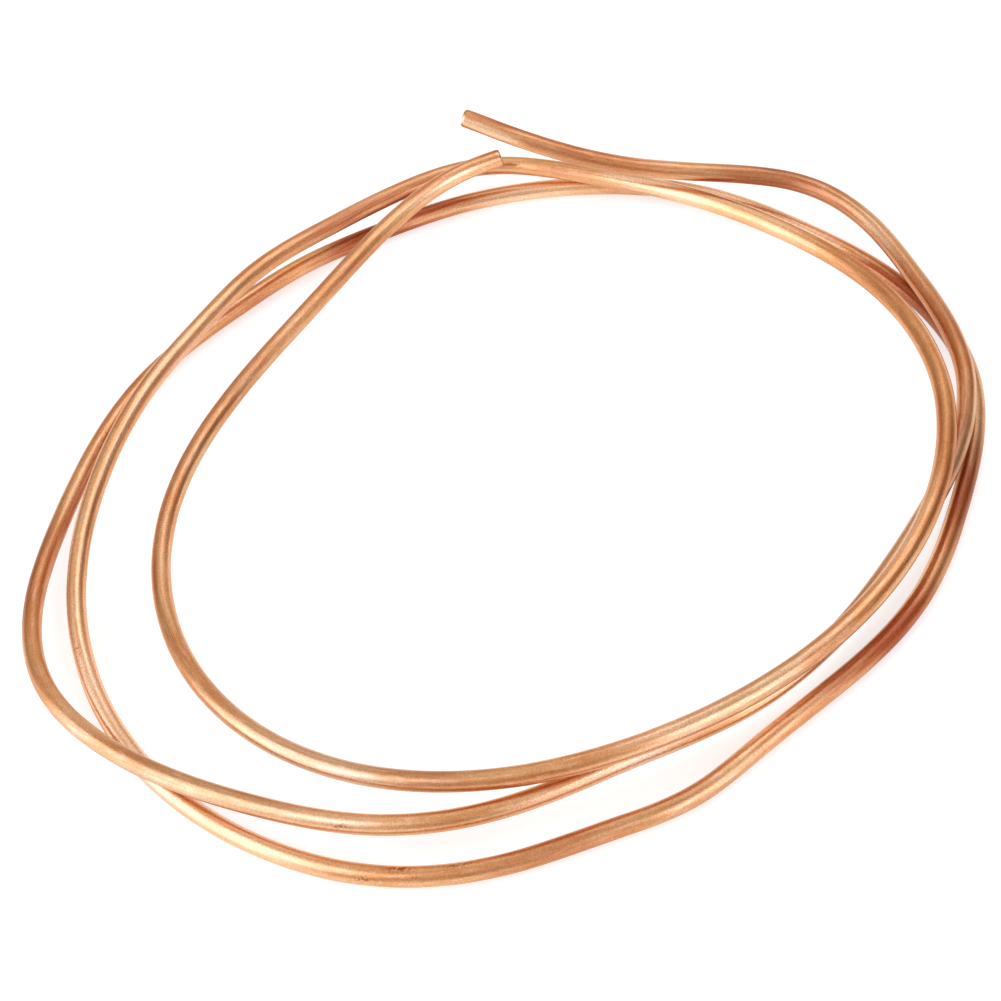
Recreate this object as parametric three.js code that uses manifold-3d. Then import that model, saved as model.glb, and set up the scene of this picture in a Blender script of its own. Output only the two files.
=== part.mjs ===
// A two metre length of soft copper tube, coiled by hand into three loose turns.
//
// Millimetres, +Z up. The coil lies flat, and its outer end stands up off it. The origin is on the
// floor, under the middle of the coil's box.
// The tube is one closed solid: a round section with its bore, swept along the coil, with its edges
// broken at both cut ends. No turn touches another: the least gap between them is a paper's thickness.
import * as THREE from "three";
import { mergeVertices } from "three/addons/utils/BufferGeometryUtils.js";
import Module from "manifold-3d";

// ---- the tube -------------------------------------------------------------------------------------
const OUTSIDE_DIAMETER = 5;
const WALL = 0.5;
const EDGE_BREAK = 0.15; // the small bevel round the outside of each cut end
const TURN_CLEARANCE = 0.3; // height left between two turns where one lies over the other

// ---- how it is bent -------------------------------------------------------------------------------
// Seen from above the tube runs anticlockwise, and its angle is counted from +X, on from turn to turn.
// Each pair is one place along its centreline: the angle in degrees, and the distance in millimetres
// from the coil's middle. The places lie where a bend starts, ends or is at its fullest, closer
// together where the tube is kinked, and the tube runs smoothly through them.
const INNER_TURN = [
  [75.5, 95], [84, 89.5], [95, 80], [112, 69], [136, 66], [154, 70],
  [172, 77], [195, 87.5], [236, 103], [262, 107], [280, 108.5],
  [305, 112.5], [348, 112], [366, 105.5], [384, 98], [402, 94.5],
];
const MIDDLE_TURN = [
  [418, 94.5], [428, 97], [440, 100], [456, 95], [467, 91], [481, 88.5],
  [494, 86.5], [510, 89], [530, 97], [551, 108.5], [572, 117], [592, 122.5],
  [608, 125], [621, 123], [632, 120], [641, 119.5], [651, 116], [662, 115.5],
  [676, 118], [692, 118], [712, 120], [728, 114.5], [746, 106], [764, 102],
];
const OUTER_TURN = [
  [786, 96.5], [804, 93], [820, 91], [832, 92], [846, 93.5], [864, 99.5],
  [895, 110], [908, 118.5], [919, 123], [932, 121.5], [952, 116.5], [968, 115],
  [982, 111], [996, 106.5], [1012, 108], [1046, 111.5], [1058, 116], [1070, 118.5],
  [1088, 116], [1099, 116], [1110, 112], [1121, 99.5], [1131, 90], [1146, 85.5],
  [1153, 87], [1159.5, 90.5],
];

// The places where the tube runs level: the angle in degrees, and its lift off the floor in layers. A
// layer is one tube and its clearance. The tube eases from one level to the next. The last level lies
// beyond the outer end, which is cut off while the tube still climbs.
const LEVELS = [
  [75.5, 2.45], // the inner end, on top of the other two turns
  [180, 1.35], // carried clear of the floor by its own stiffness
  [310, 2], // on top of the outer turn
  [436, 1.15], // under the inner end
  [503, 2.4], // arched over the start of the outer turn
  [585, 0], // down on the floor
  [850, 0], // leaving the floor
  [941, 1.03], // over the middle turn
  [1015, 0.76], // sagging between its two crossings
  [1080, 1.04], // over the middle turn again
  [1214, 8.5], // where the climb to the outer end would have ended
];

// ---- how finely it is drawn -----------------------------------------------------------------------
const SWEEP_STEPS = 260;
const OUTSIDE_SIDES = 12;
const BORE_SIDES = 8;
const ARC_SAMPLES = 2000; // lengths along the coil are measured over this many chords

const OUTSIDE_RADIUS = OUTSIDE_DIAMETER / 2;
const BORE_RADIUS = OUTSIDE_RADIUS - WALL;
const LAYER = OUTSIDE_DIAMETER + TURN_CLEARANCE;
const UP = new THREE.Vector3(0, 0, 1);

const PLACES = [...INNER_TURN, ...MIDDLE_TURN, ...OUTER_TURN];
const INNER_END = PLACES[0][0];
const OUTER_END = PLACES[PLACES.length - 1][0];

// The curve through [angle, value] pairs that has no corner anywhere and is straight at its two ends (a
// natural cubic spline). Returns the function that gives the value at an angle.
function smoothThrough(pairs) {
  const angles = pairs.map(([angle]) => angle);
  const values = pairs.map(([, value]) => value);
  const last = pairs.length - 1;
  const width = (i) => angles[i + 1] - angles[i];
  const slope = (i) => (values[i + 1] - values[i]) / width(i);
  const bend = new Array(pairs.length).fill(0);
  const share = new Array(pairs.length).fill(0);
  for (let i = 1; i < last; i += 1) {
    const pivot = 2 * (width(i - 1) + width(i)) - width(i - 1) * share[i - 1];
    share[i] = width(i) / pivot;
    bend[i] = (6 * (slope(i) - slope(i - 1)) - width(i - 1) * bend[i - 1]) / pivot;
  }
  for (let i = last - 1; i > 0; i -= 1) {
    bend[i] -= share[i] * bend[i + 1];
  }
  return (angle) => {
    const i = Math.max(angles.findLastIndex((start, at) => at < last && start <= angle), 0);
    const b = (angle - angles[i]) / width(i);
    const a = 1 - b;
    const straight = a * values[i] + b * values[i + 1];
    return straight + (((a ** 3 - a) * bend[i] + (b ** 3 - b) * bend[i + 1]) * width(i) ** 2) / 6;
  };
}

const radiusAt = smoothThrough(PLACES);

function layersAt(angle) {
  const next = Math.max(LEVELS.findIndex(([place]) => place >= angle), 1);
  const [from, lower] = LEVELS[next - 1];
  const [to, upper] = LEVELS[next];
  return THREE.MathUtils.lerp(lower, upper, THREE.MathUtils.smootherstep(angle, from, to));
}

// The centreline of the tube, from its inner end to its outer end
class CoilPath extends THREE.Curve {
  getPoint(share, target = new THREE.Vector3()) {
    const angle = THREE.MathUtils.lerp(INNER_END, OUTER_END, share);
    const radius = radiusAt(angle);
    const radians = THREE.MathUtils.degToRad(angle);
    const height = OUTSIDE_RADIUS + LAYER * layersAt(angle);
    return target.set(radius * Math.cos(radians), radius * Math.sin(radians), height);
  }

  // The section keeps its top side up all the way, so it never twists
  computeFrenetFrames(segments) {
    const frames = { tangents: [], normals: [], binormals: [] };
    for (let i = 0; i <= segments; i += 1) {
      const tangent = this.getTangentAt(i / segments);
      const outward = new THREE.Vector3().crossVectors(tangent, UP).normalize();
      frames.tangents.push(tangent);
      frames.normals.push(outward);
      frames.binormals.push(new THREE.Vector3().crossVectors(tangent, outward));
    }
    return frames;
  }
}

// The corners of a regular polygon round the tube's axis
function ring(radius, sides) {
  const corners = [];
  for (let i = 0; i < sides; i += 1) {
    const angle = (2 * Math.PI * i) / sides;
    corners.push(new THREE.Vector2(radius * Math.cos(angle), radius * Math.sin(angle)));
  }
  return corners;
}

function tubeSection() {
  const section = new THREE.Shape(ring(OUTSIDE_RADIUS, OUTSIDE_SIDES));
  section.holes.push(new THREE.Path(ring(BORE_RADIUS, BORE_SIDES)));
  return section;
}

// The ring of metal that breaking the edge of a cut end takes away. Its axis is +Y, and the cut end's
// face is at y = 0 with the tube below it.
function edgeBreakRing() {
  const margin = EDGE_BREAK; // how far the ring stands clear of the metal, outside it
  const profile = [
    new THREE.Vector2(OUTSIDE_RADIUS - EDGE_BREAK - margin, margin),
    new THREE.Vector2(OUTSIDE_RADIUS + margin, -EDGE_BREAK - margin),
    new THREE.Vector2(OUTSIDE_RADIUS + margin, margin),
  ];
  return new THREE.LatheGeometry([...profile, profile[0]], OUTSIDE_SIDES);
}

const wasm = await Module();
wasm.setup();

function toSolid(geometry) {
  const bare = geometry.index ? geometry.toNonIndexed() : geometry.clone();
  bare.deleteAttribute("normal");
  bare.deleteAttribute("uv");
  const merged = mergeVertices(bare, 1e-4);
  return new wasm.Manifold(
    new wasm.Mesh({
      numProp: 3,
      vertProperties: merged.attributes.position.array,
      triVerts: new Uint32Array(merged.index.array),
    }),
  );
}

function toGeometry(solid) {
  const mesh = solid.getMesh();
  const geometry = new THREE.BufferGeometry();
  geometry.setAttribute("position", new THREE.BufferAttribute(mesh.vertProperties, 3));
  geometry.setIndex(new THREE.BufferAttribute(mesh.triVerts, 1));
  geometry.computeVertexNormals();
  return geometry;
}

// Breaks the outside edge of the cut end at a share of the way along the coil. The ring's corners line
// up with the tube's own.
function breakEdge(tube, path, share) {
  const leaving = path.getTangentAt(share).multiplyScalar(share === 0 ? -1 : 1);
  const outward = new THREE.Vector3().crossVectors(leaving, UP).normalize();
  const placed = new THREE.Matrix4()
    .makeBasis(outward, leaving, new THREE.Vector3().crossVectors(outward, leaving))
    .setPosition(path.getPointAt(share));
  return tube.subtract(toSolid(edgeBreakRing().applyMatrix4(placed)));
}

function buildTube() {
  const path = new CoilPath();
  path.arcLengthDivisions = ARC_SAMPLES;
  const swept = new THREE.ExtrudeGeometry(tubeSection(), { steps: SWEEP_STEPS, extrudePath: path });
  const finished = breakEdge(breakEdge(toSolid(swept), path, 0), path, 1);
  return toGeometry(finished);
}

// Moves a shape so that its box stands on the floor, with the origin under the middle of it
function standOnOrigin(geometry) {
  geometry.computeBoundingBox();
  const middle = geometry.boundingBox.getCenter(new THREE.Vector3());
  return geometry.translate(-middle.x, -middle.y, -geometry.boundingBox.min.z);
}

const brightCopper = new THREE.MeshStandardMaterial({
  name: "bright soft copper",
  color: new THREE.Color(0.85, 0.5, 0.3),
  metalness: 1,
  roughness: 0.3,
});

const copperTube = new THREE.Mesh(standOnOrigin(buildTube()), brightCopper);
copperTube.name = "copper_tube";

const coil = new THREE.Group();
coil.add(copperTube);

export default coil;
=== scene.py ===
"""The looks of a hand-wound coil of soft copper tube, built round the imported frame, in metres."""

import math

import bpy
import numpy as np
from mathutils import Matrix, Vector


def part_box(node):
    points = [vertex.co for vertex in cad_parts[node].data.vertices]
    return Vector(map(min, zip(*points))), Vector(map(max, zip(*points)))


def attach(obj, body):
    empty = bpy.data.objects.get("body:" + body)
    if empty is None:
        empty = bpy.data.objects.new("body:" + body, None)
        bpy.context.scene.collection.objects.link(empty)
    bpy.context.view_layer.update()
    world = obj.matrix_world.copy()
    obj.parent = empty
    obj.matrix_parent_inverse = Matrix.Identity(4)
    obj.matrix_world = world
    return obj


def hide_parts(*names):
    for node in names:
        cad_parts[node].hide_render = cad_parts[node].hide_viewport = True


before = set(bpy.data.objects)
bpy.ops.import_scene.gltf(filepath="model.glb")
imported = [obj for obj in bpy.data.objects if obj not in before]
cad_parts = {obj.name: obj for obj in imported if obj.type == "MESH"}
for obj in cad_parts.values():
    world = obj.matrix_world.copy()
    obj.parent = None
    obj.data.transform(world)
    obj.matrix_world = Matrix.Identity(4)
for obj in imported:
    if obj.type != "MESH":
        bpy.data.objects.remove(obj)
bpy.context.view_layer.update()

# The tube.
OUTSIDE_DIAMETER = 0.005
WALL = 0.0005
TURN_CLEARANCE = 0.0003
OUTSIDE_RADIUS = OUTSIDE_DIAMETER / 2
BORE_RADIUS = OUTSIDE_RADIUS - WALL

# Its winding: each place is an angle in degrees, counter-clockwise from +X seen from above and running on
# from turn to turn, and the distance of the tube's centre line from the middle of the winding.
INNER_TURN = [
    (75.5, 0.095), (84, 0.0895), (95, 0.080), (112, 0.069), (136, 0.066), (154, 0.070),
    (172, 0.077), (195, 0.0875), (236, 0.103), (262, 0.107), (280, 0.1085),
    (305, 0.1125), (348, 0.112), (366, 0.1055), (384, 0.098), (402, 0.0945),
]
MIDDLE_TURN = [
    (418, 0.0945), (428, 0.097), (440, 0.100), (456, 0.095), (467, 0.091), (481, 0.0885),
    (494, 0.0865), (510, 0.089), (530, 0.097), (551, 0.1085), (572, 0.117), (592, 0.1225),
    (608, 0.125), (621, 0.123), (632, 0.120), (641, 0.1195), (651, 0.116), (662, 0.1155),
    (676, 0.118), (692, 0.118), (712, 0.120), (728, 0.1145), (746, 0.106), (764, 0.102),
]
OUTER_TURN = [
    (786, 0.0965), (804, 0.093), (820, 0.091), (832, 0.092), (846, 0.0935), (864, 0.0995),
    (895, 0.110), (908, 0.1185), (919, 0.123), (932, 0.1215), (952, 0.1165), (968, 0.115),
    (982, 0.111), (996, 0.1065), (1012, 0.108), (1046, 0.1115), (1058, 0.116), (1070, 0.1185),
    (1088, 0.116), (1099, 0.116), (1110, 0.112), (1121, 0.0995), (1131, 0.090), (1146, 0.0855),
    (1153, 0.087), (1159.5, 0.0905),
]
PLACES = INNER_TURN + MIDDLE_TURN + OUTER_TURN

# How many layers of tube lie under it at an angle: 0 is on the floor. It climbs all the way to its outer
# end, so the last level lies beyond that end.
LEVELS = [
    (75.5, 2.45), (180, 1.35), (310, 2), (436, 1.15), (503, 2.4), (585, 0),
    (850, 0), (941, 1.03), (1015, 0.76), (1080, 1.04), (1214, 8.5),
]
LAYER = OUTSIDE_DIAMETER + TURN_CLEARANCE

# Its cut ends: a tube cutter rolls the rim over, so the outside rounds off and the bore closes in a little.
ROLLED_LENGTH = 0.0009
ROLLED_IN = 0.00045
BORE_ROLLED_IN = 0.0003

# How far from a cut end the rings of the mesh lie there: closest where the rim is rolled over.
NEAR_END = [
    0, 0.00001, 0.00004, 0.00009, 0.00016, 0.00026, 0.0004, 0.00056, 0.00074, 0.0009, 0.0014, 0.0024,
]

# Its unevenness: soft tube is drawn a little under its size, and winding it by hand presses it in here and
# there. The relief is a sum of waves that run along the tube, each with some lobes round it.
UNDERSIZE = 0.00005
UNEVEN_DEPTH = 0.00008
UNEVEN_SEED = 7
UNEVEN_WAVES = 40
SHORTEST_WAVE = 0.012
LONGEST_WAVE = 0.09
MOST_LOBES = 4

# Its tones: an angle, how many degrees it takes to fade out either side, and how far the copper is darkened
# there, by tarnish and partly by painted shade, or below 0 how far it is brightened, partly as clean copper
# and partly as a painted highlight.
TONES_AND_PAINTED_LIGHT = [
    (82, 12, -0.2), (106, 15, 0.4), (138, 16, 0.25), (148, 8, 0.3), (190, 14, -0.25), (217, 12, 0.35),
    (231, 8, -0.3), (243, 12, -0.4), (253, 14, 0.4), (281, 12, -0.45), (303, 12, 0.15), (335, 15, 0.6),
    (366, 16, 0.75), (386, 10, -0.55), (404, 16, -0.8), (435, 8, -0.2), (461, 18, 1.0), (482, 16, 0.2),
    (508, 18, -0.5), (538, 16, -0.3), (564, 22, -0.8), (580, 12, -0.6), (595, 14, -0.6), (613, 8, -0.1),
    (627, 12, 0.6), (640, 8, 0.1), (648, 10, -0.1), (661, 8, 0.4), (672, 15, 1.4), (693, 13, 1.4),
    (723, 14, 1.6), (735, 8, 0.3), (747, 12, -0.9), (760, 10, -0.8), (772, 8, 0.4), (791, 15, -1.2),
    (807, 8, 0.5), (819, 15, 1.6), (844, 12, 0.5), (867, 8, 0.3), (878, 8, 0.1), (899, 16, 0.7),
    (916, 10, 0.1), (928, 8, -0.3), (936, 12, 0.2), (963, 14, -0.45), (986, 8, -0.4), (999, 12, -0.75),
    (1012, 8, -0.6), (1021, 8, -0.7), (1030, 10, 0.3), (1047, 8, -0.4), (1056, 8, 0.4), (1077, 14, 0.6),
    (1095, 8, -0.2), (1113, 16, 0.85), (1138, 18, 0.6), (1156, 10, -0.1),
]

# Its hue: an angle, how many degrees it takes to fade out either side, and how far the copper leans to
# orange there, or below 0 to rose.
HUES = [
    (100, 18, 0.4), (160, 30, -0.6), (205, 10, -0.5), (240, 28, -1.0), (295, 20, -0.9), (338, 22, 0.8),
    (368, 24, 0.9), (394, 16, 0.8), (435, 10, 0.4), (516, 20, 0.2), (579, 10, -0.5), (600, 18, 0.2),
    (642, 12, -0.8), (674, 10, 0.5), (698, 16, -1.1), (722, 10, -1.2), (771, 9, 1.6), (785, 10, 0.5),
    (836, 16, 0.6), (944, 30, -0.8), (1000, 16, -0.6), (1044, 34, -1.8), (1100, 34, -0.6),
]

# Its marks, dark or bright on one side only, partly real marks and mostly painted shade and painted
# highlights that shift where its highlights fall: an angle and how many degrees it takes to fade out either way
# along the tube, then the same round it, where 0 faces out of the winding, 90 up and 180 in, and how far the
# copper has darkened, or below 0 brightened.
MARKS_AND_PAINTED_LIGHT = [
    (76, 6, 84, 24, 1.1), (90, 14, 140, 24, -1.3), (90, 10, 102, 24, 0.7), (130, 14, 103, 30, -0.6),
    (147, 8, 145, 30, -0.6), (168, 18, 50, 26, 0.9), (195, 8, 66, 28, 0.6), (244, 8, 45, 24, -0.6),
    (276, 8, 42, 24, 0.7), (280, 8, 78, 22, -0.5), (322, 18, 120, 32, -1.2), (334, 8, 136, 24, -0.9),
    (350, 10, 106, 26, 0.5), (362, 24, 46, 34, -1.4), (364, 12, 165, 30, -0.8), (393, 14, 92, 30, -1.2),
    (401, 9, 70, 20, 1.8), (411, 8, 195, 24, 0.8), (413, 9, 108, 20, -1.5), (426, 10, 138, 30, 0.8),
    (448, 9, 186, 34, 1.6), (459, 6, 162, 20, -0.7), (460, 12, 84, 28, -1.4), (495, 16, 154, 24, -1.1),
    (501, 14, 126, 22, 0.4), (510, 10, 70, 26, 0.8), (524, 14, 138, 24, -1.3), (540, 10, 170, 22, 1.0),
    (567, 7, 22, 24, 1.5), (583, 14, 116, 28, -1.3), (652, 7, 112, 22, -0.8), (652, 8, 60, 22, 0.7),
    (664, 8, 8, 24, -0.8), (684, 22, 128, 22, -2.2), (729, 12, 120, 22, 1.4), (794, 10, 138, 18, -0.8),
    (802, 14, 112, 25, 1.4), (808, 12, 162, 30, -1.1), (832, 16, 156, 24, 0.8), (843, 8, 105, 22, -1.1),
    (861, 7, 98, 26, -1.4), (871, 8, 150, 26, -1.6), (888, 14, 168, 24, 1.7), (889, 12, 128, 26, -1.1),
    (902, 6, 96, 20, -0.9), (905, 9, 40, 26, 1.4), (940, 20, 16, 28, -0.6), (957, 14, 118, 22, 0.8),
    (963, 6, 60, 20, -0.7), (987, 8, 110, 20, 1.2), (1008, 12, 31, 22, 0.9), (1062, 9, 118, 20, -1.6),
    (1062, 9, 82, 22, 0.9), (1072, 12, 28, 20, -1.0), (1066, 12, 60, 22, 0.5), (1096, 9, 120, 22, -0.5),
    (1102, 6, 146, 20, 0.7), (1107, 6, 92, 24, -0.5), (1119, 8, 192, 28, 0.9), (1128, 14, 74, 26, -0.9),
    (1156, 9, 98, 18, 1.3), (1156, 9, 158, 34, -2.6), (1155, 9, 204, 24, 0.6), (1153, 12, 74, 28, 1.0),
]

# Its scuffs, placed as the marks are.
SCUFFS = [
    (557, 1.6, 78, 26, 0.7), (606.5, 1.6, 31, 30, 1.0), (610, 2.6, 102, 34, 1.0), (611.5, 2.2, 53, 24, 0.5),
    (616, 2.4, 98, 26, 0.7), (963, 1.6, 36, 28, 0.9),
]

# How finely it is meshed.
SIDES = 44
OUTSIDE_STEPS = 1400
BORE_STEPS = 400
LINE_SAMPLES = 12000


def natural_spline(places, at):
    """The natural cubic spline through the places, read at each value of at."""
    x, y = np.array(places).T
    gap = np.diff(x)
    slope = np.diff(y) / gap
    rows = np.eye(len(x))
    right = np.zeros(len(x))
    for i in range(1, len(x) - 1):
        rows[i, i - 1 : i + 2] = gap[i - 1], 2 * (gap[i - 1] + gap[i]), gap[i]
        right[i] = 6 * (slope[i] - slope[i - 1])
    bend = np.linalg.solve(rows, right)
    i = np.clip(np.searchsorted(x, at) - 1, 0, len(gap) - 1)
    before = at - x[i]
    after = x[i + 1] - at
    curve = (bend[i] * after**3 + bend[i + 1] * before**3) / (6 * gap[i])
    chord = (y[i] * after + y[i + 1] * before) / gap[i]
    return curve + chord - gap[i] * (bend[i] * after + bend[i + 1] * before) / 6


def eased_levels(at):
    """The layer count at each angle, eased between the level places."""
    x, y = np.array(LEVELS).T
    i = np.clip(np.searchsorted(x, at) - 1, 0, len(x) - 2)
    t = np.clip((at - x[i]) / (x[i + 1] - x[i]), 0, 1)
    eased = t**3 * (t * (6 * t - 15) + 10)
    return y[i] + (y[i + 1] - y[i]) * eased


def centre_line(degrees):
    """The tube's centre line at each angle of the winding, from the winding's middle."""
    radius = natural_spline(PLACES, degrees)
    height = OUTSIDE_RADIUS + LAYER * eased_levels(degrees)
    angle = np.radians(degrees)
    return np.column_stack([radius * np.cos(angle), radius * np.sin(angle), height])


def unit(vectors):
    """The vectors, each made one unit long."""
    return vectors / np.linalg.norm(vectors, axis=1, keepdims=True)


class Line:
    """The centre line by distance along it, with a sideways and an upward direction at every point."""

    def __init__(self):
        self.degrees = np.linspace(PLACES[0][0], PLACES[-1][0], LINE_SAMPLES)
        self.points = centre_line(self.degrees)
        steps = np.linalg.norm(np.diff(self.points, axis=0), axis=1)
        self.distance = np.concatenate([[0], np.cumsum(steps)])
        self.length = self.distance[-1]
        along = unit(np.gradient(self.points, self.distance, axis=0))
        self.out = unit(np.cross(along, [0, 0, 1]))
        self.up = np.cross(self.out, along)

    def read(self, values, at):
        """The values, which are points or directions of the line, read at distances along it."""
        return np.column_stack([np.interp(at, self.distance, column) for column in values.T])


def stations(length, steps):
    """Distances along the tube at which it has a ring: even steps, and closer ones at both cut ends."""
    even = np.linspace(0, length, steps)
    inner = even[(even > NEAR_END[-1]) & (even < length - NEAR_END[-1])]
    near = np.array(NEAR_END)
    return np.concatenate([near, inner, length - near[::-1]])


def rolled(distance, depth):
    """How far the cutter has rolled the tube in at this distance from the cut face, as a quarter ellipse."""
    short = np.clip(1 - distance / ROLLED_LENGTH, 0, 1)
    return depth * (1 - np.sqrt(1 - short**2))


def nearness(offset, fade):
    """1 at no offset, easing to 0 where the offset reaches the fade."""
    near = np.clip(1 - np.abs(offset) / fade, 0, 1)
    return near * near * (3 - 2 * near)


def spots_at(degrees, spots):
    """The sum of the spots at each angle of the winding."""
    return sum(strength * nearness(degrees - middle, fade) for middle, fade, strength in spots)


def marks_at(degrees, turn, marks):
    """The sum of the one-sided marks at each angle of the winding and each angle round the tube."""
    total = np.zeros((len(degrees), len(turn)))
    for middle, fade, side, side_fade, strength in marks:
        round_tube = (np.degrees(turn) - side + 180) % 360 - 180
        total += strength * np.outer(nearness(degrees - middle, fade), nearness(round_tube, side_fade))
    return total


def pressed_in(at, turn):
    """How far the outside lies under its size, at each distance along the tube and each angle round it."""
    draw = np.random.default_rng(UNEVEN_SEED)
    relief = np.zeros((len(at), len(turn)))
    for _ in range(UNEVEN_WAVES):
        lobes = draw.integers(1, MOST_LOBES + 1)
        wave = math.exp(draw.uniform(math.log(SHORTEST_WAVE), math.log(LONGEST_WAVE)))
        phase = math.tau * (at / wave + draw.uniform())
        spin = draw.choice((-1, 1)) * phase
        relief += np.cos(lobes * turn[None, :] + spin[:, None]) / lobes
    relief -= relief.min()
    return UNDERSIZE + UNEVEN_DEPTH * relief / relief.max()


def tube_rings(line, at, is_bore, turn):
    """The mesh's points: a ring round the centre line at each distance, outside or in the bore."""
    from_cut = np.minimum(at, line.length - at)
    outer_radius = OUTSIDE_RADIUS - rolled(from_cut, ROLLED_IN)
    bore_radius = BORE_RADIUS - rolled(from_cut, BORE_ROLLED_IN)
    radius = np.where(is_bore, bore_radius, outer_radius)[:, None]
    radius = radius - np.where(is_bore[:, None], 0, pressed_in(at, turn))
    section = np.cos(turn)[None, :, None] * line.read(line.out, at)[:, None, :]
    section = section + np.sin(turn)[None, :, None] * line.read(line.up, at)[:, None, :]
    return line.read(line.points, at)[:, None, :] + radius[:, :, None] * section


def ring_quads(count):
    """The faces between each ring and the next, and between the last ring and the first."""
    ring = np.arange(count)[:, None] * SIDES
    next_ring = (np.arange(1, count + 1) % count)[:, None] * SIDES
    side = np.arange(SIDES)[None, :]
    next_side = (side + 1) % SIDES
    return np.stack([ring + side, next_ring + side, next_ring + next_side, ring + next_side], axis=-1)


def looks_along(line, at, turn):
    """What the mesh's points tell the material, by the name that each value has there."""
    degrees = np.interp(at, line.distance, line.degrees)
    return {
        "grain_place": np.stack(np.broadcast_arrays(np.cos(turn), np.sin(turn), at[:, None]), axis=-1),
        # The tone is the tones and the one-sided marks added: tarnish, clean copper and real marks, partly
        # painted shade and painted highlights.
        "tone_and_painted_light": spots_at(degrees, TONES_AND_PAINTED_LIGHT)[:, None] + marks_at(degrees, turn, MARKS_AND_PAINTED_LIGHT),
        "hue": np.repeat(spots_at(degrees, HUES), SIDES),
        "scuff": marks_at(degrees, turn, SCUFFS),
    }


def tube_mesh(line):
    """The tube as one closed mesh, which runs out along the outside and back through the bore."""
    outside = stations(line.length, OUTSIDE_STEPS)
    bore = stations(line.length, BORE_STEPS)[::-1]
    at = np.concatenate([outside, bore])
    is_bore = np.arange(len(at)) >= len(outside)
    turn = np.linspace(0, math.tau, SIDES, endpoint=False)
    points = tube_rings(line, at, is_bore, turn).reshape(-1, 3)
    return points, ring_quads(len(at)).reshape(-1, 4), looks_along(line, at, turn)


def add_values(mesh, name, values):
    """Values that the mesh carries at its points, a vector each where they come in threes."""
    kind, field = ("FLOAT_VECTOR", "vector") if values.shape[-1] == 3 else ("FLOAT", "value")
    stored = mesh.attributes.new(name, kind, "POINT")
    stored.data.foreach_set(field, values.astype(np.float32).ravel())


def new_tube(line):
    """The tube, with its box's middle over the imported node's in plan, and where the winding's middle lies."""
    points, quads, looks = tube_mesh(line)
    low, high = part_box("copper_tube")
    plan_middle = (points[:, :2].min(0) + points[:, :2].max(0)) / 2
    winding_middle = np.array((low + high)[:2]) / 2 - plan_middle
    points[:, :2] += winding_middle
    mesh = bpy.data.meshes.new("drawn_copper_tube")
    mesh.from_pydata(points.tolist(), [], quads.tolist())
    mesh.polygons.foreach_set("use_smooth", np.ones(len(quads), bool))
    for name, values in looks.items():
        add_values(mesh, name, values)
    mesh.materials.append(copper_material())
    mesh.update()
    tube = bpy.data.objects.new("drawn_copper_tube", mesh)
    bpy.context.scene.collection.objects.link(tube)
    return tube, Vector((*winding_middle, 0))


class Net:
    """The shader nodes of a material or of the world, and short ways of adding to them."""

    def __init__(self, owner):
        owner.use_nodes = True
        self.nodes = owner.node_tree.nodes
        self.link = owner.node_tree.links.new

    def put(self, value, socket):
        """Sets a socket to a number or a colour, or links another node's output to it."""
        if isinstance(value, bpy.types.NodeSocket):
            self.link(value, socket)
        else:
            socket.default_value = value

    def attribute(self, name, output):
        """A value that the mesh carries at its points."""
        node = self.nodes.new("ShaderNodeAttribute")
        node.attribute_name = name
        return node.outputs[output]

    def noise(self, coordinates, repeats, detail):
        """A noise with so many repeats in one unit of each coordinate."""
        scaled = self.nodes.new("ShaderNodeVectorMath")
        scaled.operation = "MULTIPLY"
        scaled.inputs[1].default_value = repeats
        self.link(coordinates, scaled.inputs[0])
        texture = self.nodes.new("ShaderNodeTexNoise")
        texture.inputs["Scale"].default_value = 1
        texture.inputs["Detail"].default_value = detail
        self.link(scaled.outputs[0], texture.inputs["Vector"])
        return texture.outputs["Fac"]

    def spread(self, value, edges, limits, easing="LINEAR"):
        """The value, mapped so that between its edges it runs from one limit to the other."""
        ranged = self.nodes.new("ShaderNodeMapRange")
        ranged.interpolation_type = easing
        self.link(value, ranged.inputs["Value"])
        for name, number in zip(("From Min", "From Max", "To Min", "To Max"), (*edges, *limits)):
            ranged.inputs[name].default_value = number
        return ranged.outputs["Result"]

    def combined(self, operation, first, second):
        """Two values in one: added, multiplied or the greater of them."""
        maths = self.nodes.new("ShaderNodeMath")
        maths.operation = operation
        self.put(first, maths.inputs[0])
        self.put(second, maths.inputs[1])
        return maths.outputs[0]

    def mixed(self, share, first, second, how="MIX"):
        """A colour that goes from the first to the second, or to both multiplied, as the share goes to 1."""
        mix = self.nodes.new("ShaderNodeMix")
        mix.data_type = "RGBA"
        mix.blend_type = how
        self.link(share, mix.inputs["Factor"])
        self.put(first, mix.inputs["A"])
        self.put(second, mix.inputs["B"])
        return mix.outputs["Result"]

    def brightened(self, colour, value):
        """The colour made brighter or darker by a factor."""
        shift = self.nodes.new("ShaderNodeHueSaturation")
        self.link(colour, shift.inputs["Color"])
        self.link(value, shift.inputs["Value"])
        return shift.outputs["Color"]

    def bumped(self, height, depth, under=None):
        """The surface's direction with a bump of this height, over the bump under it."""
        bump = self.nodes.new("ShaderNodeBump")
        bump.inputs["Strength"].default_value = BUMP_STRENGTH
        bump.inputs["Distance"].default_value = depth
        self.link(height, bump.inputs["Height"])
        if under is not None:
            self.link(under, bump.inputs["Normal"])
        return bump.outputs["Normal"]


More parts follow.
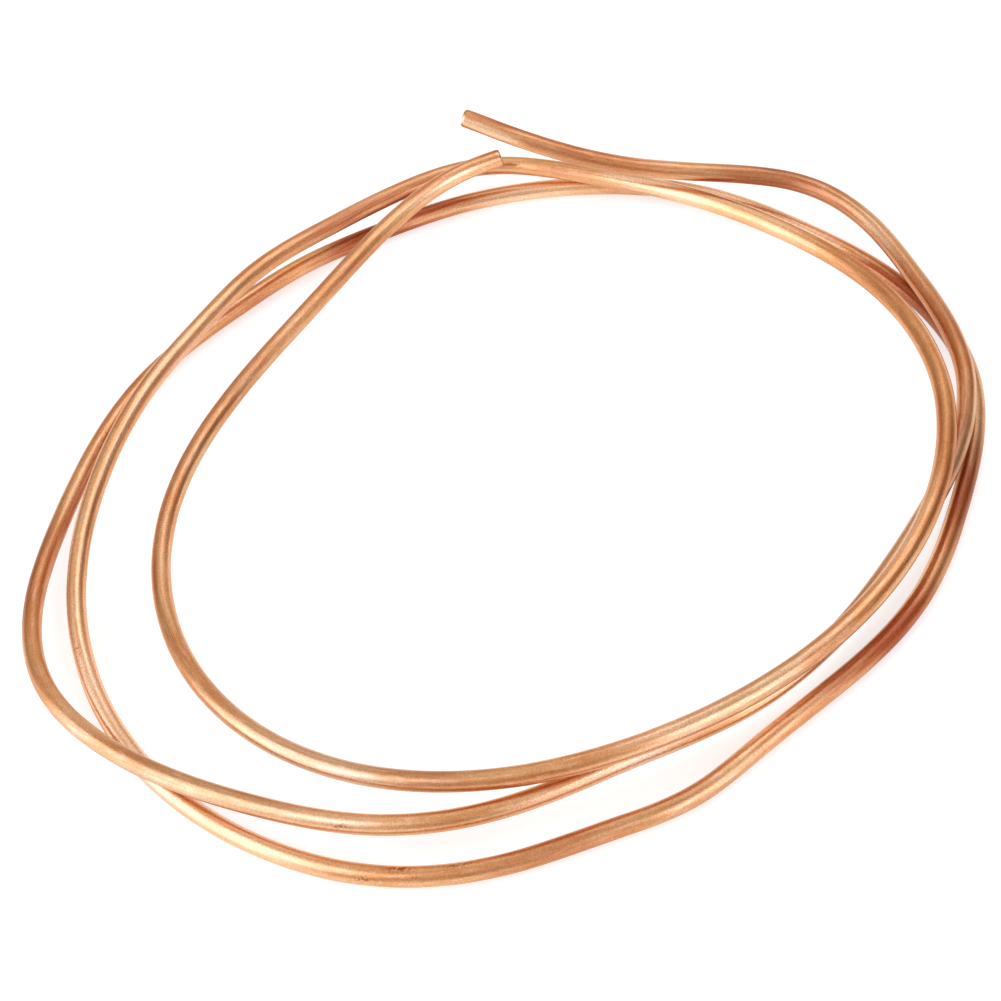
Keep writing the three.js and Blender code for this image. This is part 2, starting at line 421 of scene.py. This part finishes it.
# The copper's colours. The dark one serves tarnish, scuffs and painted shade, the bright one bright flecks,
# clean copper and painted highlights. The rim colour is how it is tinted at a glancing angle.
COPPER_TAN = (0.79, 0.44, 0.21, 1)
COPPER_RED = (0.68, 0.27, 0.097, 1)
COPPER_DARK = (0.40, 0.09, 0.027, 1)
COPPER_BRIGHT = (0.96, 0.605, 0.39, 1)
ORANGE_TINT = (1, 0.93, 0.76, 1)
ROSE_TINT = (0.84, 0.92, 1.05, 1)
COPPER_RIM = (0.9, 0.8, 0.7, 1)

# Its gloss: a satin metal, duller where it is darkened (tarnish, and partly painted shade), under a thin
# glossier skin.
COPPER_ROUGHNESS = 0.29
ROUGHNESS_SPREAD = 0.05
DARKENED_ROUGHNESS = 0.12
COAT_WEIGHT = 0.36
COAT_ROUGHNESS = 0.08
COAT_IOR = 1.6

# Its patterns, each with its repeats and its detail. The first two repeat so often in a metre, each way. The
# others follow the tube and repeat so often in one radius across it, both ways, and in a metre along it.
GRAIN = ((2400, 2400, 2400), 2)
SPECKS = ((1300, 1300, 1300), 1)
DRAW_LINES = ((22, 22, 14), 3)
PATCHES = ((0.9, 0.9, 30), 3)
BLOTCHES = ((2.2, 2.2, 110), 4)
FLECKS = ((3.2, 3.2, 190), 4)

# Where each comes in, from nothing to all of it. A pattern runs from 0 to 1 and is mostly near a half.
ALL = (0, 1)
GRAIN_EDGES = (0.35, 0.65)
SPECK_EDGES = (0.48, 0.56)
LINE_EDGES = (0.55, 0.75)
LINE_ROUGHNESS_EDGES = (0.3, 0.7)
PATCH_EDGES = (0.35, 0.65)
BLOTCH_EDGES = (0.35, 0.6)
BRIGHT_FLECK_EDGES = (0.52, 0.68)
RED_FLECK_EDGES = (0.48, 0.32)

# How much of each there is: grain as a change of brightness either way, and the rest as shares of another
# colour. The share at the darkest tone is past 1, so that its blotches run together there.
GRAIN_CONTRAST = 0.13
LINE_SHARE = 0.35
FLECK_SHARE = 0.45
DARKEST_TONE = 1.6
DARKEST_SHARE = 1.4
LEAST_BLOTCHED = 0.7

# Its fine relief.
BUMP_STRENGTH = 0.7
LINE_DEPTH = 0.00002
GRAIN_DEPTH = 0.00006


def darkening(net, place):
    """How far the copper is darkened: tarnish, and partly painted shade. It breaks up into blotches where that
    fades out.
    """
    dark = net.spread(net.attribute("tone_and_painted_light", "Fac"), (0, DARKEST_TONE), (0, DARKEST_SHARE))
    blotched = net.spread(net.noise(place, *BLOTCHES), BLOTCH_EDGES, (LEAST_BLOTCHED, 1))
    return net.combined("MULTIPLY", dark, blotched)


def copper_colour(net, place, body, grain, draw_lines, darkened):
    """The copper's colour: tan and red patches, lines, flecks, then its darkening and brightening (partly
    painted shade and highlights), scuffs, hue and grain.
    """
    patches = net.noise(place, *PATCHES)
    flecks = net.noise(place, *FLECKS)
    tone_and_painted_light = net.attribute("tone_and_painted_light", "Fac")
    hue = net.attribute("hue", "Fac")
    specks = net.spread(net.noise(body, *SPECKS), SPECK_EDGES, ALL)
    scuffed = net.combined("MULTIPLY", net.attribute("scuff", "Fac"), specks)
    grained = net.spread(grain, GRAIN_EDGES, (1 - GRAIN_CONTRAST, 1 + GRAIN_CONTRAST))

    colour = net.mixed(net.spread(patches, PATCH_EDGES, ALL), COPPER_TAN, COPPER_RED)
    colour = net.mixed(net.spread(draw_lines, LINE_EDGES, (0, LINE_SHARE)), colour, COPPER_RED)
    colour = net.mixed(net.spread(flecks, BRIGHT_FLECK_EDGES, (0, FLECK_SHARE)), colour, COPPER_BRIGHT)
    colour = net.mixed(net.spread(flecks, RED_FLECK_EDGES, (0, FLECK_SHARE)), colour, COPPER_RED)
    # Where the tone is below 0 the copper is brightened: clean copper, and partly a painted highlight.
    colour = net.mixed(net.spread(tone_and_painted_light, (0, -1), ALL), colour, COPPER_BRIGHT)
    # Where it is darkened: tarnish, and partly painted shade.
    colour = net.mixed(darkened, colour, COPPER_DARK)
    colour = net.mixed(scuffed, colour, COPPER_DARK)
    colour = net.mixed(net.spread(hue, (0, 1), ALL), colour, ORANGE_TINT, "MULTIPLY")
    colour = net.mixed(net.spread(hue, (0, -1), ALL), colour, ROSE_TINT, "MULTIPLY")
    return net.brightened(colour, grained)


def copper_material():
    """Soft drawn copper: a satin metal under a glossier skin, with grain, draw lines and patches darkened and
    brightened, partly as painted shade and highlights.
    """
    material = bpy.data.materials.new("soft_copper")
    net = Net(material)
    shader = net.nodes["Principled BSDF"].inputs
    shader["Metallic"].default_value = 1
    shader["Specular Tint"].default_value = COPPER_RIM
    shader["Coat Weight"].default_value = COAT_WEIGHT
    shader["Coat Roughness"].default_value = COAT_ROUGHNESS
    shader["Coat IOR"].default_value = COAT_IOR

    place = net.attribute("grain_place", "Vector")
    body = net.nodes.new("ShaderNodeTexCoord").outputs["Object"]
    grain = net.noise(body, *GRAIN)
    draw_lines = net.noise(place, *DRAW_LINES)
    darkened = darkening(net, place)
    net.link(copper_colour(net, place, body, grain, draw_lines, darkened), shader["Base Color"])

    satin_range = (COPPER_ROUGHNESS - ROUGHNESS_SPREAD, COPPER_ROUGHNESS + ROUGHNESS_SPREAD)
    satin = net.spread(draw_lines, LINE_ROUGHNESS_EDGES, satin_range)
    dulled = net.spread(darkened, ALL, (0, DARKENED_ROUGHNESS))
    net.link(net.combined("ADD", satin, dulled), shader["Roughness"])

    relief = net.bumped(grain, GRAIN_DEPTH, under=net.bumped(draw_lines, LINE_DEPTH))
    net.link(relief, shader["Normal"])
    net.link(relief, shader["Coat Normal"])
    return material


# The studio. Each of its dark places has an azimuth and an elevation in degrees, how many degrees the dark
# takes to fade out, and how dark it is.
WHITE = (1, 1, 1, 1)
FLOOR_SIZE = 8
FLOOR_GREY = (0.52, 0.52, 0.52, 1)
FLOOR_ROUGHNESS = 0.35
FLOOR_LIFT = 0.62
ROOM_LIGHT = (0.77, 0.685, 0.59, 1)
DARK_PLACES = [(4, 12, 44, 0.85), (130, 14, 36, 0.6), (266, 25, 26, 0.6)]
DARK_LIGHT = (0.19, 0.115, 0.08, 1)
LAMP_LIGHT = (0.81, 1.0, 1.24)


def seen_ray(net):
    """1 for a ray that shows the background: from the camera, in a reflection or through glass."""
    path = net.nodes.new("ShaderNodeLightPath").outputs
    seen = net.combined("MAXIMUM", path["Is Camera Ray"], path["Is Transmission Ray"])
    return net.combined("MAXIMUM", seen, path["Is Glossy Ray"])


def floor_material():
    """A satin grey floor, lifted to white for a ray that shows the background, with a faint shadow on it."""
    material = bpy.data.materials.new("white_floor")
    net = Net(material)
    shader = net.nodes["Principled BSDF"].inputs
    shader["Base Color"].default_value = FLOOR_GREY
    shader["Roughness"].default_value = FLOOR_ROUGHNESS
    shader["Emission Color"].default_value = WHITE
    net.link(net.combined("MULTIPLY", seen_ray(net), FLOOR_LIFT), shader["Emission Strength"])
    return material


def new_floor():
    """A level floor under the coil."""
    half = FLOOR_SIZE / 2
    corners = [(-half, -half, 0), (half, -half, 0), (half, half, 0), (-half, half, 0)]
    mesh = bpy.data.meshes.new("floor")
    mesh.from_pydata(corners, [], [(0, 1, 2, 3)])
    mesh.materials.append(floor_material())
    floor = bpy.data.objects.new("floor", mesh)
    bpy.context.scene.collection.objects.link(floor)


def toward(azimuth, elevation):
    """The direction of a place in the room, by its azimuth from +X and its elevation in degrees."""
    a, e = math.radians(azimuth), math.radians(elevation)
    return Vector((math.cos(a) * math.cos(e), math.sin(a) * math.cos(e), math.sin(e)))


def light_room():
    """A warm, evenly lit room with a few dark places. Only the camera sees it as white."""
    world = bpy.data.worlds.new("room")
    net = Net(world)
    bpy.context.scene.world = world
    direction = net.nodes.new("ShaderNodeTexCoord").outputs["Generated"]
    colour = ROOM_LIGHT
    for azimuth, elevation, fade, darkness in DARK_PLACES:
        facing = net.nodes.new("ShaderNodeVectorMath")
        facing.operation = "DOT_PRODUCT"
        facing.inputs[1].default_value = toward(azimuth, elevation)
        net.link(direction, facing.inputs[0])
        edges = (math.cos(math.radians(fade)), 1)
        dark = net.spread(facing.outputs["Value"], edges, (0, darkness), easing="SMOOTHSTEP")
        colour = net.mixed(dark, colour, DARK_LIGHT)
    camera_ray = net.nodes.new("ShaderNodeLightPath").outputs["Is Camera Ray"]
    net.link(net.mixed(camera_ray, colour, WHITE), net.nodes["Background"].inputs["Color"])


def soft_box(name, azimuth, elevation, distance, width, height, level):
    """A soft box that faces the coil. Its level is how bright its face looks: 1 is white."""
    away = toward(azimuth, elevation)
    data = bpy.data.lights.new(name, "AREA")
    data.shape = "RECTANGLE"
    data.color = LAMP_LIGHT
    data.size = width
    data.size_y = height
    data.energy = level * math.pi * width * height
    lamp = bpy.data.objects.new(name, data)
    lamp.location = away * distance
    lamp.rotation_mode = "QUATERNION"
    lamp.rotation_quaternion = away.to_track_quat("Z", "Y")
    lamp.visible_camera = False
    bpy.context.scene.collection.objects.link(lamp)


# The camera, from the middle of the winding. Its angles are in degrees.
CAMERA_BACK = 0.466
CAMERA_HEIGHT = 0.4925
CAMERA_DOWN = 47.5
CAMERA_ROLL = -15
FOCAL_PIXELS = 2715
IMAGE_PIXELS = 1001
SENSOR_WIDTH = 36
HALF_PIXEL = 0.5


def new_camera(winding_middle):
    """The scene's camera, behind the winding's middle and above it, looking down and rolled to one side."""
    data = bpy.data.cameras.new("camera")
    data.sensor_width = SENSOR_WIDTH
    data.lens = SENSOR_WIDTH * FOCAL_PIXELS / IMAGE_PIXELS
    data.shift_x = -HALF_PIXEL / IMAGE_PIXELS
    data.shift_y = HALF_PIXEL / IMAGE_PIXELS
    camera = bpy.data.objects.new("camera", data)
    place = Matrix.Translation(winding_middle + Vector((0, -CAMERA_BACK, CAMERA_HEIGHT)))
    tilt = Matrix.Rotation(math.radians(90 - CAMERA_DOWN), 4, "X")
    roll = Matrix.Rotation(math.radians(CAMERA_ROLL), 4, "Z")
    camera.matrix_world = place @ tilt @ roll
    bpy.context.scene.collection.objects.link(camera)
    bpy.context.scene.camera = camera


tube, winding_middle = new_tube(Line())
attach(tube, "root")
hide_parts("copper_tube")

new_floor()
light_room()
soft_box("left_box", azimuth=187, elevation=32, distance=1.3, width=1.25, height=1.8, level=1.58)
soft_box("front_right_box", azimuth=301, elevation=24, distance=1.5, width=0.9, height=1.2, level=1.94)
soft_box("back_right_box", azimuth=36, elevation=61, distance=1.5, width=1.4, height=0.6, level=1.36)
new_camera(winding_middle)
bpy.context.scene.view_settings.view_transform = "Standard"
